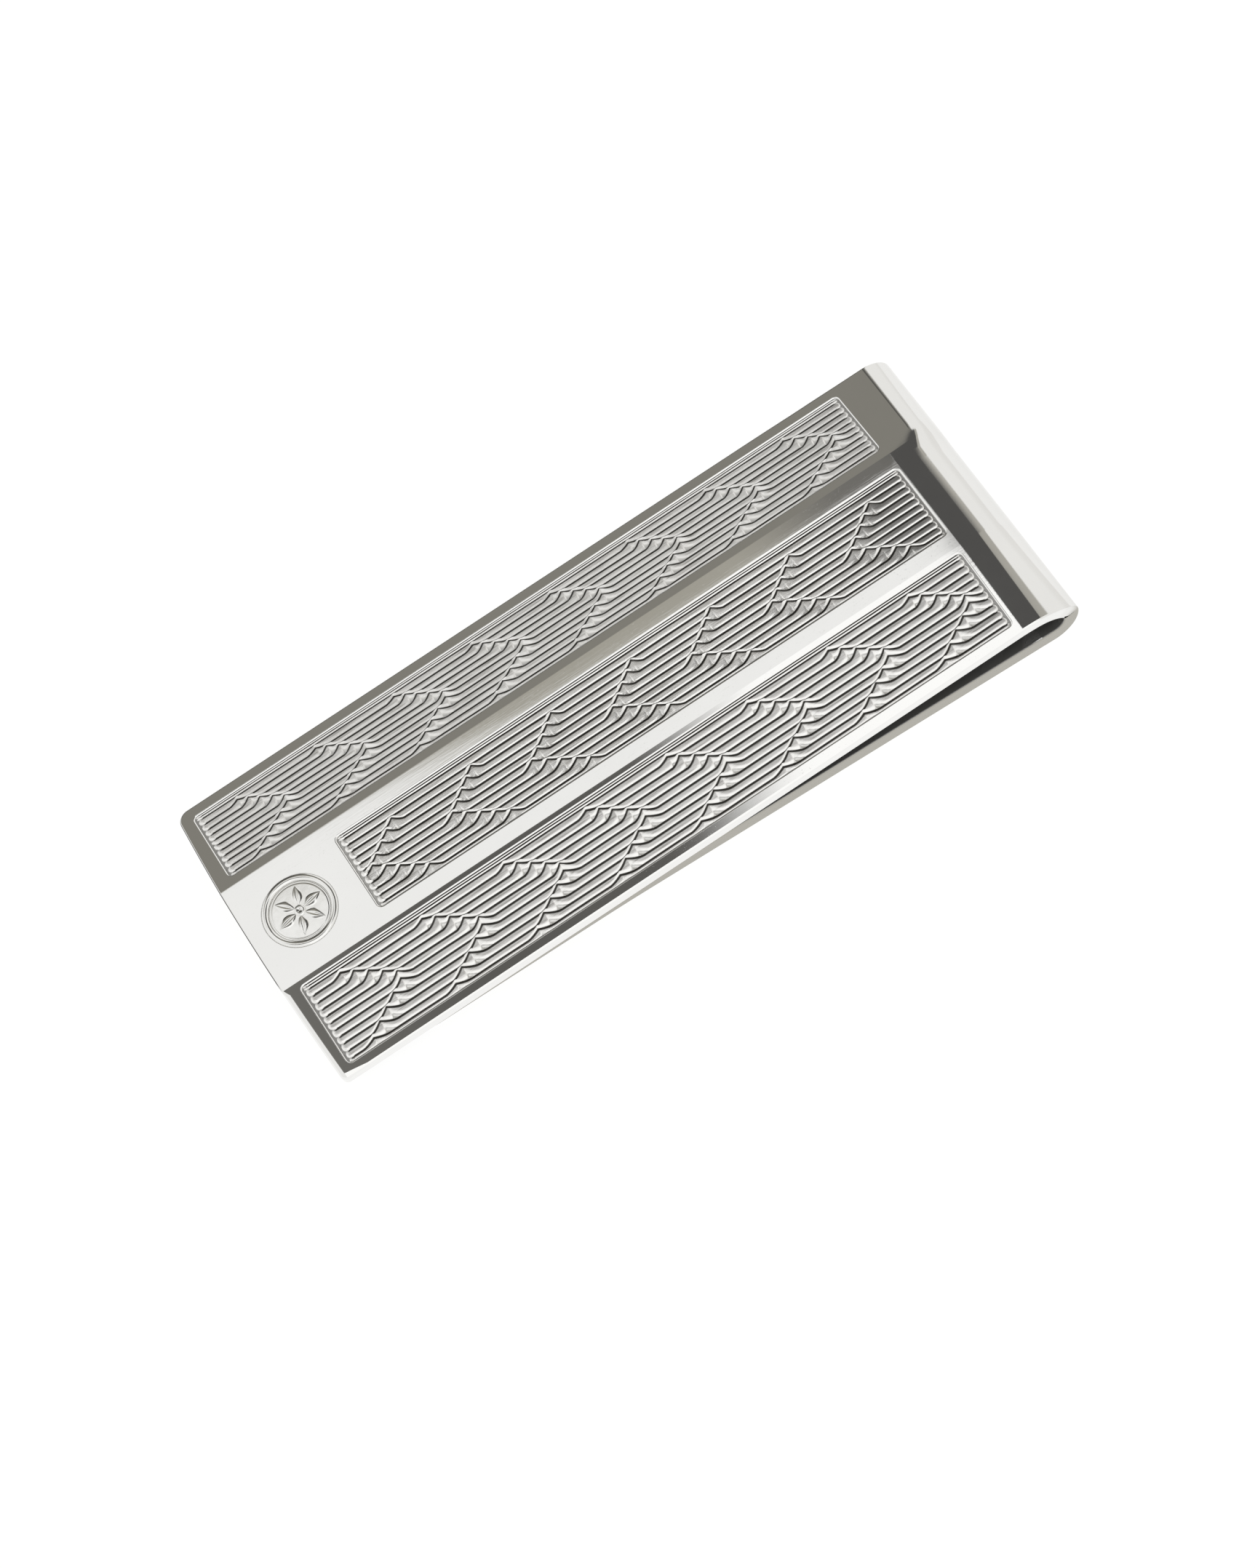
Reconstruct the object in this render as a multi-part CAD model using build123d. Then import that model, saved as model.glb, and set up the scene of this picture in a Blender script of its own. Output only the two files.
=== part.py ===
from build123d import *
import math
import os

# Folded spring money clip.
# A single strip of plated metal, bent back on itself at one end.  The front leg
# is roof-shaped: a level centre facet and two side facets that fall away from it.
# Each facet carries an engraved panel, and the centre facet also carries a round
# emblem at the open end.  The back leg lies under the front leg and presses up
# against it near the open end.
#
# Working frame: X runs from the open end to the fold, Y across, Z out of the
# centre facet, which lies on Z = 0.  Everything is then turned so that the back
# leg lies flat, and moved so that the origin is the bottom centre of the clip.

# ---------------------------------------------------------------- dimensions (mm)
metal = 1.2              # thickness of the strip
centre_w = 8.6           # width of the centre facet
side_w = 7.38            # width of each side facet, along its slope
side_slope = 8.5         # fall of the side facets, degrees
fold_x = 55.6            # where the fold begins, from the open end
fold_r = 2.03            # outer radius of the fold
blend_x = 53.55          # where the front plate is divided from the fold
end_bow = 0.28           # how far the open end bows out at its middle
corner_far = 0.9         # plan radius of the two corners at the open end
corner_near = 0.45

# engraved panels
pocket = 0.40            # depth of a pocket for a panel
panel_drop = 0.05        # how far a panel's face lies below its facet
side_x0, side_x1 = 0.95, 53.10
centre_x0, centre_x1 = 8.20, 53.20
upper_in, upper_out = 0.76, 0.90      # margins of the upper panel
lower_in, lower_out = 0.45, 0.80      # margins of the lower panel
centre_in = 1.26                      # margin of the centre panel, both sides
panel_corner = 0.30

# emblem
emblem_x, emblem_y = 3.66, 0.0
emblem_r = 2.62
emblem_seat = 0.25
emblem_rise = 0.14
emblem_ring_w = 0.42

# back leg
leg_slope = 1.813        # slope of the back leg to the front leg, degrees
leg_tip_x = 4.0
leg_half_tip = 10.85     # half width from the tip to leg_taper_x
leg_taper_x = 20.0
leg_tip_corner = 3.2
split_gap = 0.04         # clearance at the fold's mid plane, where the spring flexes

# ---------------------------------------------------------------- derived
a = math.radians(side_slope)
side_fall = side_w * math.sin(a)
half_w = centre_w / 2 + side_w * math.cos(a)
fold_zc = -side_fall - fold_r
apex_x = fold_x + fold_r
s = math.radians(leg_slope)


def pt(y, z):
    return (y, z)


def x_section(points, x):
    """closed polygon of (y, z) points on the plane X = x"""
    return Wire(Polyline(*[(x, y, z) for y, z in points], close=True).edges())


# roof-shaped section: outer face, then inner face one thickness below it
roof = [
    (-half_w, -side_fall),
    (-centre_w / 2, 0.0),
    (centre_w / 2, 0.0),
    (half_w, -side_fall),
    (half_w - metal * math.sin(a), -side_fall - metal * math.cos(a)),
    (centre_w / 2 - metal * math.tan(a / 2), -metal),
    (-centre_w / 2 + metal * math.tan(a / 2), -metal),
    (-half_w + metal * math.sin(a), -side_fall - metal * math.cos(a)),
]
# ---------------------------------------------------------------- front plate
plate = extrude(Face(x_section(roof, -1.0)), amount=blend_x + 1.0, dir=(1, 0, 0))
# plan outline with a gently bowed open end and rounded corners
far_y, near_y = half_w, -half_w
outline = Polyline(
    (blend_x + 5, near_y - 0.001, 0),
    (blend_x + 5, far_y + 0.001, 0),
    (0.0, far_y + 0.001, 0),
)
bow = ThreePointArc((0.0, far_y + 0.001, 0), (-end_bow, 0, 0), (0.0, near_y - 0.001, 0))
closing = Line((0.0, near_y - 0.001, 0), (blend_x + 5, near_y - 0.001, 0))
plan = Face(Wire(outline.edges() + bow.edges() + closing.edges()))
far_corner = [v for v in plan.vertices() if abs(v.X) < 1e-6 and v.Y > 0]
near_corner = [v for v in plan.vertices() if abs(v.X) < 1e-6 and v.Y < 0]
plan = fillet(far_corner, corner_far)
near_corner = [v for v in plan.vertices() if abs(v.X) < 1e-6 and v.Y < 0]
plan = fillet(near_corner, corner_near)
plan_solid = extrude(Plane.XY.offset(-6) * plan, amount=12, dir=(0, 0, 1))
plate = plate & plan_solid


def facet_frame(which):
    """plane lying on a facet: local x along the clip, local y across, outwards up"""
    if which == "upper":
        return Plane(origin=(0, centre_w / 2, 0), x_dir=(1, 0, 0),
                     z_dir=(0, math.sin(a), math.cos(a)))
    if which == "lower":
        return Plane(origin=(0, -centre_w / 2, 0), x_dir=(1, 0, 0),
                     z_dir=(0, -math.sin(a), math.cos(a)))
    return Plane(origin=(0, 0, 0), x_dir=(1, 0, 0), z_dir=(0, 0, 1))


def slab(which, x0, x1, y0, y1, top, bottom):
    """rounded slab on a facet, between two depths measured along the facet's normal"""
    sk = Pos((x0 + x1) / 2, (y0 + y1) / 2, bottom) * RectangleRounded(x1 - x0, abs(y1 - y0), panel_corner)
    body = extrude(sk, amount=top - bottom, dir=(0, 0, 1))
    return facet_frame(which).location * body


spans = {
    "upper": (side_x0, side_x1, upper_in, side_w - upper_out),
    "centre": (centre_x0, centre_x1, -centre_w / 2 + centre_in, centre_w / 2 - centre_in),
    "lower": (side_x0, side_x1, -(side_w - lower_out), -lower_in),
}
panels = {}
for name, (x0, x1, y0, y1) in spans.items():
    plate = plate - slab(name, x0, x1, y0, y1, 1.0, -pocket)
    panels[name] = slab(name, x0, x1, y0, y1, -panel_drop, -pocket)

# ---------------------------------------------------------------- emblem
seat = Pos(emblem_x, emblem_y, -emblem_seat) * Cylinder(emblem_r, 2, align=(Align.CENTER, Align.CENTER, Align.MIN))
plate = plate - seat
ring_in = emblem_r - emblem_ring_w
emblem_ring = Pos(emblem_x, emblem_y, -emblem_seat) * (
    Cylinder(emblem_r, emblem_seat + emblem_rise, align=(Align.CENTER, Align.CENTER, Align.MIN))
    - Cylinder(ring_in, 3, align=(Align.CENTER, Align.CENTER, Align.CENTER)))
emblem_disc = Pos(emblem_x, emblem_y, -emblem_seat) * Cylinder(
    ring_in, emblem_seat - 0.03, align=(Align.CENTER, Align.CENTER, Align.MIN))
# plain six-petal rosette standing on the disc
petals = None
for k in range(6):
    petal = Pos(emblem_x, emblem_y, -0.03) * Rot(0, 0, 60 * k) * Pos(1.0, 0, 0) * extrude(
        Ellipse(0.86, 0.33), amount=0.13, dir=(0, 0, 1))
    petals = petal if petals is None else petals + petal
hub = Pos(emblem_x, emblem_y, -0.03) * Cylinder(0.34, 0.17, align=(Align.CENTER, Align.CENTER, Align.MIN))
emblem_rosette = petals + hub

# ---------------------------------------------------------------- fold
# The outer face of the fold runs into the roof shape above and into the flat back
# leg below, so its radius grows from the edges to the centre facet.  Its outermost
# line is straight.  leg_d places the plane of the back leg's outer face.
leg_d = math.sin(s) * (fold_x - fold_r * math.sin(s)) + math.cos(s) * (fold_zc - fold_r * math.cos(s))


def fold_radius(level):
    """outer radius of the fold where the top face is at this height"""
    return (apex_x * math.sin(s) + level * math.cos(s) - leg_d) / (1 + math.sin(s) + math.cos(s))


def fold_profile(level, y):
    """closed profile on the plane Y = y, from the front plate round to the back leg"""
    r = fold_radius(level)
    cx, cz = apex_x - r, level - r
    last = -90 - leg_slope
    mid = (90 + last) / 2
    def p(q, d):
        return (cx + q * math.cos(math.radians(d)), y, cz + q * math.sin(math.radians(d)))
    ri = r - metal
    edges = [
        Line((blend_x, y, level), p(r, 90)),
        ThreePointArc(p(r, 90), p(r, mid), p(r, last)),
        Line(p(r, last), p(ri, last)),
        ThreePointArc(p(ri, last), p(ri, mid), p(ri, 90)),
        Line(p(ri, 90), (blend_x, y, level - metal)),
        Line((blend_x, y, level - metal), (blend_x, y, level)),
    ]
    return Face(Wire([e.edge() for e in edges]))


c2 = centre_w / 2
fold = loft([fold_profile(0.0, -c2), fold_profile(0.0, c2)], ruled=True)
fold += loft([fold_profile(0.0, c2), fold_profile(-side_fall, half_w)], ruled=True)
fold += loft([fold_profile(-side_fall, -half_w), fold_profile(0.0, -c2)], ruled=True)
above = Pos(fold_x, 0, fold_zc) * Box(30, 4 * half_w, 20, align=(Align.CENTER, Align.CENTER, Align.MIN))
below = Pos(fold_x, 0, fold_zc - split_gap) * Box(30, 4 * half_w, 20, align=(Align.CENTER, Align.CENTER, Align.MAX))
fold_upper = fold & above
fold_lower = fold & below

# ---------------------------------------------------------------- back leg
# plan outline, drawn on the leg's own plane and then leaned to meet the fold
leg_end_x = fold_x - fold_r * math.sin(s)
r_mid = fold_radius(0.0)
mid_back = (leg_end_x - (apex_x - r_mid - r_mid * math.sin(s))) / math.cos(s)
leg_len = (leg_end_x - leg_tip_x) / math.cos(s)
taper_len = (leg_end_x - leg_taper_x) / math.cos(s)
leg_pts = [
    (0, -half_w), (-mid_back, -c2), (-mid_back, c2), (0, half_w),
    (-taper_len, leg_half_tip), (-leg_len, leg_half_tip),
    (-leg_len, -leg_half_tip), (-taper_len, -leg_half_tip),
]
leg_plan = Face(Wire(Polyline(*[(x, y, 0) for x, y in leg_pts], close=True).edges()))
tips = [v for v in leg_plan.vertices() if abs(v.X + leg_len) < 1e-6]
leg_plan = fillet(tips, leg_tip_corner)
shoulders = [v for v in leg_plan.vertices() if abs(v.X + taper_len) < 1e-6]
leg_plan = fillet(shoulders, 60.0)
leg_plane = Plane(
    origin=(fold_x - fold_r * math.sin(s), 0, fold_zc - fold_r * math.cos(s)),
    x_dir=(math.cos(s), 0, -math.sin(s)), z_dir=(math.sin(s), 0, math.cos(s)))
back_leg = leg_plane.location * extrude(leg_plan, amount=metal, dir=(0, 0, 1))

# ---------------------------------------------------------------- placing
raw = {
    "front_plate": plate,
    "panel_upper": panels["upper"],
    "panel_centre": panels["centre"],
    "panel_lower": panels["lower"],
    "emblem_ring": emblem_ring,
    "emblem_disc": emblem_disc,
    "emblem_rosette": emblem_rosette,
    "fold_upper": fold_upper,
    "fold_lower": fold_lower,
    "back_leg": back_leg,
}
lean = Rot(0, -leg_slope, 0)
turned = {n: lean * p for n, p in raw.items()}
boxes = [p.bounding_box() for p in turned.values()]
x_lo = min(b.min.X for b in boxes)
x_hi = max(b.max.X for b in boxes)
z_lo = turned["back_leg"].bounding_box().min.Z
shift = Pos(-(x_lo + x_hi) / 2, 0, -z_lo)
placed = {n: shift * p for n, p in turned.items()}

os.makedirs("parts", exist_ok=True)
for n, p in placed.items():
    solids = p.solids()
    out = solids[0] if len(solids) == 1 else Compound(children=list(solids))
    export_step(out, f"parts/{n}.step")
    b = out.bounding_box()
    print(n, len(solids), "solid(s)", round(out.volume, 3), "mm3",
          [round(v, 3) for v in (b.min.X, b.min.Y, b.min.Z, b.max.X, b.max.Y, b.max.Z)])


def to_world(x, y, z):
    """a point of the working frame, in the clip's own frame"""
    v = Vector(x, y, z).rotate(Axis.Y, -leg_slope)
    return (v.X - (x_lo + x_hi) / 2, v.Y, v.Z - z_lo)


print("hinge axis point", [round(v, 4) for v in to_world(apex_x, 0, fold_zc)])
print("frame shift", round(-(x_lo + x_hi) / 2, 4), round(-z_lo, 4), "lean", -leg_slope)
print("size", round(x_hi - x_lo, 3), round(2 * half_w, 3))
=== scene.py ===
"""Looks of the folded spring money clip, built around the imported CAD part."""

import math

import bpy
import bmesh
import numpy as np
from mathutils import Matrix, Vector
from mathutils.geometry import delaunay_2d_cdt

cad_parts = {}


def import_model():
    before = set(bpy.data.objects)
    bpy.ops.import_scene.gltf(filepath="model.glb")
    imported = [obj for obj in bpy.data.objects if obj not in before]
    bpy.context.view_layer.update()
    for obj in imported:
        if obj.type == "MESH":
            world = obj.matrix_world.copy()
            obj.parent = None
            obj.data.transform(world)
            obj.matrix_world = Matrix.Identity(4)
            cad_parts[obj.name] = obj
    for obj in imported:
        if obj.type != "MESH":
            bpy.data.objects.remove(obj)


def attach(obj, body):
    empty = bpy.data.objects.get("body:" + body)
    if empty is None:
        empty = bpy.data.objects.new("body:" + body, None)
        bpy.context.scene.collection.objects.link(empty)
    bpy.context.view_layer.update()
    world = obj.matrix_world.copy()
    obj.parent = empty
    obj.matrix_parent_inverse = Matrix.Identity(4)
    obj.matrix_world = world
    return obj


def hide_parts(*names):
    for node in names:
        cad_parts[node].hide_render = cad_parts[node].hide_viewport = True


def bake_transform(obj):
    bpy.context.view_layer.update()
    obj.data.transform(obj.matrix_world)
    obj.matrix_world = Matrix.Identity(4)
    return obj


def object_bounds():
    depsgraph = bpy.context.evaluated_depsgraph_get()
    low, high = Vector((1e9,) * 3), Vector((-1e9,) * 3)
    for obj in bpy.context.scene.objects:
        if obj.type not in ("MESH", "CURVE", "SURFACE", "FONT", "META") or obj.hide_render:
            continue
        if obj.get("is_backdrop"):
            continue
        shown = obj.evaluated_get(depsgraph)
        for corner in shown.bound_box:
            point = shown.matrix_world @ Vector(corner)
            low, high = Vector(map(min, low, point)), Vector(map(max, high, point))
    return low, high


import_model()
size_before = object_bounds()

# ------------------------------------------------------------------ dimensions (mm)
# Working frame: X from the open end to the fold, Y across, Z out of the centre
# facet, which lies on Z = 0.  "s" is the distance across, measured along the sheet.
METAL = 1.2
C2 = 4.3
SIDE = 7.38
SLOPE = math.radians(8.5)
FOLD_X, FOLD_R = 55.6, 2.03
BOW = 0.28
CORNER_FAR, CORNER_NEAR = 0.9, 0.45
POCKET = 0.40
LEG = math.radians(1.813)
APEX = FOLD_X + FOLD_R
SIDE_FALL = SIDE * math.sin(SLOPE)
HALF_W = C2 + SIDE * math.cos(SLOPE)
FOLD_ZC = -SIDE_FALL - FOLD_R
LEG_D = math.sin(LEG) * (FOLD_X - FOLD_R * math.sin(LEG)) + math.cos(LEG) * (FOLD_ZC - FOLD_R * math.cos(LEG))
SEAM = 53.40             # the front strip ends here and the fold begins
CREASE = 0.055           # half width of a rounded crease
CREASE_R = CREASE / math.tan(SLOPE / 2)
SA = C2 - CREASE
SB = SA + CREASE_R * SLOPE
S_MAX = SB + SIDE - CREASE
EDGE_TOP, EDGE_LOW = 0.17, 0.14
A = -LEG


def world(p):
    """points of the working frame (N x 3, mm) in the row frame, metres"""
    p = np.asarray(p, float)
    x = p[..., 0] * math.cos(A) + p[..., 2] * math.sin(A) - 28.7105
    z = -p[..., 0] * math.sin(A) + p[..., 2] * math.cos(A) + 3.3902
    return np.stack([x, p[..., 1], z], -1) / 1000.0


def world_dir(n):
    n = np.asarray(n, float)
    x = n[..., 0] * math.cos(A) + n[..., 2] * math.sin(A)
    z = -n[..., 0] * math.sin(A) + n[..., 2] * math.cos(A)
    v = np.stack([x, n[..., 1], z], -1)
    return v / np.maximum(np.linalg.norm(v, axis=-1, keepdims=True), 1e-12)


def s_of(y_from_crease):
    """sheet coordinate of a distance measured outwards from a crease"""
    return SB - CREASE + y_from_crease


def sstep(t):
    t = np.clip(t, 0, 1)
    return t * t * (3 - 2 * t)


# ------------------------------------------------------------------ the roof-shaped sheet
def roof(s, d):
    """point (y, z) and frame (tangent, normal) of the sheet at s, d below its face"""
    s = np.asarray(s, float)
    d = np.broadcast_to(np.asarray(d, float), s.shape)
    q, sg = np.abs(s), np.where(s < 0, -1.0, 1.0)
    t2 = math.tan(SLOPE / 2)
    phi = np.clip((q - SA) / CREASE_R, 0, SLOPE)
    y_flat, z_flat = np.minimum(q, C2 - d * t2), -d
    k = np.maximum(q - SB + CREASE, d * t2)
    y_side = C2 + k * math.cos(SLOPE) - d * math.sin(SLOPE)
    z_side = -k * math.sin(SLOPE) - d * math.cos(SLOPE)
    rr = np.maximum(CREASE_R - d, 0)
    y_arc = np.where(d < CREASE_R, SA + rr * np.sin(phi), C2 - d * t2)
    z_arc = np.where(d < CREASE_R, -CREASE_R + rr * np.cos(phi), -d)
    y = np.where(q <= SA, y_flat, np.where(q >= SB, y_side, y_arc))
    z = np.where(q <= SA, z_flat, np.where(q >= SB, z_side, z_arc))
    zero = np.zeros_like(y)
    tan = np.stack([zero, np.cos(phi), -np.sin(phi) * sg], -1)
    nor = np.stack([zero, np.sin(phi) * sg, np.cos(phi)], -1)
    return y * sg, z, tan, nor


def plate_map(x, s, d):
    y, z, tan, nor = roof(s, d)
    ex = np.zeros_like(tan)
    ex[..., 0] = 1
    return np.stack([np.asarray(x, float) + 0 * y, y, z], -1), ex, tan, nor


LEG_O = np.array([FOLD_X - FOLD_R * math.sin(LEG), 0, FOLD_ZC - FOLD_R * math.cos(LEG)])
LEG_X = np.array([math.cos(LEG), 0, -math.sin(LEG)])
LEG_Z = np.array([math.sin(LEG), 0, math.cos(LEG)])


def leg_map(x, s, d):
    """the back leg: x along the leg from where the fold ends, negative to the tip"""
    x, s, d = np.broadcast_arrays(*(np.asarray(v, float) for v in (x, s, d)))
    p = LEG_O + x[..., None] * LEG_X + s[..., None] * np.array([0, 1.0, 0]) + d[..., None] * LEG_Z
    one = np.ones(x.shape + (1,))
    return p, one * LEG_X, one * np.array([0, 1.0, 0]), one * -LEG_Z


# ------------------------------------------------------------------ mesh assembly
class Build:
    """collects points, their normals and faces, in the working frame"""

    def __init__(self):
        self.p, self.n, self.f, self.t = [], [], [], []
        self.count = 0

    def add(self, p, n, inner=0.0, wall=0.0, line=0.0):
        """inner marks faces inside the fold, duller and painted dark grey as shade in the gap; wall the cut edge,
        duller and painted darker as shade; line an edge painted near-black as a dark reflection
        """
        p, n = np.atleast_2d(p), np.atleast_2d(n)
        self.p.append(p)
        self.n.append(n)
        t = np.zeros((len(p), 3))
        t[:, 0], t[:, 1], t[:, 2] = inner, wall, line
        self.t.append(t)
        i = np.arange(self.count, self.count + len(p))
        self.count += len(p)
        return i

    def quads(self, a, b, closed=False):
        """faces between two rows of the same length"""
        n = len(a)
        for k in range(n if closed else n - 1):
            m = (k + 1) % n
            self.f.append((a[k], a[m], b[m], b[k]))

    def mesh(self, name, merge=1.5e-7):
        p, n = world(np.concatenate(self.p)), world_dir(np.concatenate(self.n))
        me = bpy.data.meshes.new(name)
        me.from_pydata(p.tolist(), [], [tuple(int(i) for i in f) for f in self.f])
        layer = me.attributes.new("nn", "FLOAT_VECTOR", "POINT")
        layer.data.foreach_set("vector", n.astype(np.float32).ravel())
        marks = np.concatenate(self.t)
        for c, key in enumerate(("inner", "wall", "line")):
            at = me.attributes.new(key, "FLOAT", "POINT")
            at.data.foreach_set("value", marks[:, c].astype(np.float32))
        bm = bmesh.new()
        bm.from_mesh(me)
        bmesh.ops.remove_doubles(bm, verts=bm.verts, dist=merge)
        bmesh.ops.dissolve_degenerate(bm, edges=bm.edges, dist=merge)
        bmesh.ops.triangulate(bm, faces=[f for f in bm.faces if len(f.verts) > 4])
        bmesh.ops.recalc_face_normals(bm, faces=bm.faces)
        bm.to_mesh(me)
        bm.free()
        me.polygons.foreach_set("use_smooth", [True] * len(me.polygons))
        nn = np.zeros(len(me.vertices) * 3, np.float32)
        me.attributes["nn"].data.foreach_get("vector", nn)
        nn = nn.reshape(-1, 3)
        nn /= np.maximum(np.linalg.norm(nn, axis=1, keepdims=True), 1e-9)
        me.attributes.remove(me.attributes["nn"])
        me.validate()
        me.normals_split_custom_set_from_vertices(nn.tolist())
        ob = bpy.data.objects.new(name, me)
        bpy.context.scene.collection.objects.link(ob)
        return ob


ANG = np.radians([0, 8, 18, 30, 43, 56, 69, 80, 90])


def round_row(theta, r):
    """offset from the wall and depth of a point on a rounded edge"""
    return r * (1 - np.cos(theta)), r * (1 - np.sin(theta))


def inside(poly, pts):
    """which points lie in a polygon"""
    x, y = pts[:, 0], pts[:, 1]
    hit = np.zeros(len(pts), bool)
    for (x1, y1), (x2, y2) in zip(poly, np.roll(poly, -1, 0)):
        cond = (y1 > y) != (y2 > y)
        with np.errstate(divide="ignore", invalid="ignore"):
            hit ^= cond & (x < (x2 - x1) * (y - y1) / (y2 - y1 + 1e-30) + x1)
    return hit


def fill(outer, holes, lines, extra=()):
    """triangles inside outer and outside holes; lines are kept as edges.
    Every argument is a list of (points) arrays; returns points and triangles."""
    pts, edges = [], []

    def put(loop, closed):
        base = len(pts)
        pts.extend([tuple(q) for q in loop])
        n = len(loop)
        edges.extend((base + i, base + (i + 1) % n) for i in range(n if closed else n - 1))

    put(outer, True)
    for h in holes:
        put(h, True)
    for li in lines:
        put(li, False)
    pts.extend([tuple(q) for q in extra])
    v, _, tri, orig, _, _ = delaunay_2d_cdt([Vector(q) for q in pts], edges, [], 0, 1e-5)
    out = np.array([pts[o[0]] if o else tuple(q) for q, o in zip(v, orig)], float)
    tri = np.array(tri, int)
    mid = out[tri].mean(1)
    keep = inside(np.array(outer), mid)
    for h in holes:
        keep &= ~inside(np.array(h), mid)
    return out, tri[keep]


def sheet(b, mapping, path, out_n, seam_s, top_holes, top_lines, r_top, r_low, thick, satin_and_shade=0.0, line=0.0):
    """a thick sheet with rounded edges along an open path; its seam end is left open for the caller to cap.
    path and out_n run from the far side of the seam, round the free end, to the near side."""
    path, out_n = np.asarray(path, float), np.asarray(out_n, float)
    r_top = np.broadcast_to(np.asarray(r_top, float), (len(path),))
    rows = []

    def place(xy, d, cn, cz):
        p, ex, es, en = mapping(xy[:, 0], xy[:, 1], d)
        n = cn * (out_n[:, :1] * ex + out_n[:, 1:] * es) + cz * en
        # marks for the rows: inner (painted shade in the gap) on the underside; wall (painted darker) and line (a
        # painted dark outline) on the outward part of the edge
        return b.add(p, n, float(cz < -0.75), satin_and_shade * float(cn > 0.35), line * float(cn > 0.40))

    top_loop = None
    for th in ANG[::-1]:
        e, d = round_row(th, r_top)
        xy = path - out_n * e[:, None]
        if top_loop is None:
            top_loop = xy
        rows.append(place(xy, d, math.cos(th), math.sin(th)))
    low_loop = None
    for th in ANG:
        e, d = round_row(th, r_low)
        xy = path - out_n * e
        low_loop = xy
        rows.append(place(xy, np.full(len(xy), thick - d), math.cos(th), -math.sin(th)))
    for r1, r2 in zip(rows, rows[1:]):
        b.quads(r1, r2)
    # top face
    x_seam = path[0, 0]
    seam_top = np.array([(x_seam, v) for v in seam_s if abs(v) < abs(top_loop[0, 1]) - 1e-6])
    outer = np.concatenate([top_loop, seam_top])
    pts, tri = fill(outer, top_holes, top_lines)
    p, ex, es, en = mapping(pts[:, 0], pts[:, 1], np.zeros(len(pts)))
    ids = b.add(p, en)
    b.f.extend(tuple(ids[t]) for t in tri)
    # lower face
    seam_low = np.array([(x_seam, v) for v in seam_s if abs(v) < abs(low_loop[0, 1]) - 1e-6])
    outer_low = np.concatenate([low_loop, seam_low])
    pts, tri = fill(outer_low, [], top_lines)
    p, ex, es, en = mapping(pts[:, 0], pts[:, 1], np.full(len(pts), thick))
    # the lower face is marked inner: duller, and painted dark grey as shade in the gap
    ids = b.add(p, -en, 1.0)
    b.f.extend(tuple(ids[t][::-1]) for t in tri)
    return rows


# ------------------------------------------------------------------ front strip
CREASE_S = [SA, SA + (SB - SA) * 0.25, (SA + SB) / 2, SA + (SB - SA) * 0.75, SB]
SEAM_S = sorted([-v for v in CREASE_S] + CREASE_S + list(np.linspace(-3.6, 3.6, 9)) +
                [g * v for g in (-1, 1) for v in (4.8, 5.6, 6.6, 7.6, 8.6, 9.6, 10.4, 10.9, 11.2)])


def bow(s):
    return -BOW * (1 - (s / S_MAX) ** 2)


def bow_n(s):
    k = 2 * BOW * s / S_MAX ** 2
    n = np.array([-1.0, k])
    return n / np.linalg.norm(n)


def plate_path():
    pts, nor = [], []
    for x in np.linspace(SEAM, 2.0, 30):
        pts.append((x, S_MAX)); nor.append((0, 1))
    for side, r in ((1, CORNER_FAR), (-1, CORNER_NEAR)):
        s0 = side * (S_MAX - r)
        tau = math.atan(2 * BOW * (S_MAX - r) / S_MAX ** 2)
        cx = bow(s0 + side * r * math.sin(tau)) + r * math.cos(tau)
        arc = []
        for t in np.linspace(0, 1, 13):
            ang = math.pi / 2 + t * (math.pi / 2 - tau)
            nx, ns = math.cos(ang), math.sin(ang)
            arc.append(((cx + r * nx, s0 + side * r * ns), (nx, side * ns)))
        if side == 1:
            for p, n in arc:
                pts.append(p); nor.append(n)
            s_start = arc[-1][0][1]
        else:
            s_end = arc[-1][0][1]
            mids = [v for v in SEAM_S if s_end + 0.1 < v < s_start - 0.1][::-1]
            for v in mids:
                pts.append((bow(v), v)); nor.append(tuple(bow_n(v)))
            for p, n in arc[::-1]:
                pts.append(p); nor.append(n)
    for x in np.linspace(2.0, SEAM, 30):
        pts.append((x, -S_MAX)); nor.append((0, -1))
    return np.array(pts), np.array(nor)


SPANS = {
    "upper": (0.95, 53.10, s_of(0.76), s_of(SIDE - 0.90)),
    "centre": (8.20, 53.20, -C2 + 1.26, C2 - 1.26),
    "lower": (0.95, 53.10, -s_of(SIDE - 0.80), -s_of(0.45)),
}
RIM = {"upper": 0.12, "centre": 0.15, "lower": 0.12}


def rounded_rect(x0, x1, y0, y1, r=0.30, nc=7, step=2.0):
    """closed counter-clockwise loop of a rounded rectangle, with outward normals"""
    pts, nor = [], []
    corners = [(x1 - r, y1 - r, 0), (x0 + r, y1 - r, 90), (x0 + r, y0 + r, 180), (x1 - r, y0 + r, 270)]
    for k, (cx, cy, a0) in enumerate(corners):
        for t in np.linspace(0, 90, nc):
            a = math.radians(a0 + t)
            pts.append((cx + r * math.cos(a), cy + r * math.sin(a)))
            nor.append((math.cos(a), math.sin(a)))
        nx, ny, _ = corners[(k + 1) % 4]
        p0 = np.array(pts[-1])
        a = math.radians(a0 + 90)
        p1 = np.array([nx + r * math.cos(a), ny + r * math.sin(a)])
        m = int(np.linalg.norm(p1 - p0) // step)
        for j in range(1, m):
            pts.append(tuple(p0 + (p1 - p0) * j / m))
            nor.append((math.cos(a), math.sin(a)))
    return np.array(pts), np.array(nor)


def circle_loop(cx, cy, r, n=96):
    a = np.arange(n) / n * 2 * math.pi
    nor = np.stack([np.cos(a), np.sin(a)], -1)
    return np.array([cx, cy]) + r * nor, nor


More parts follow.
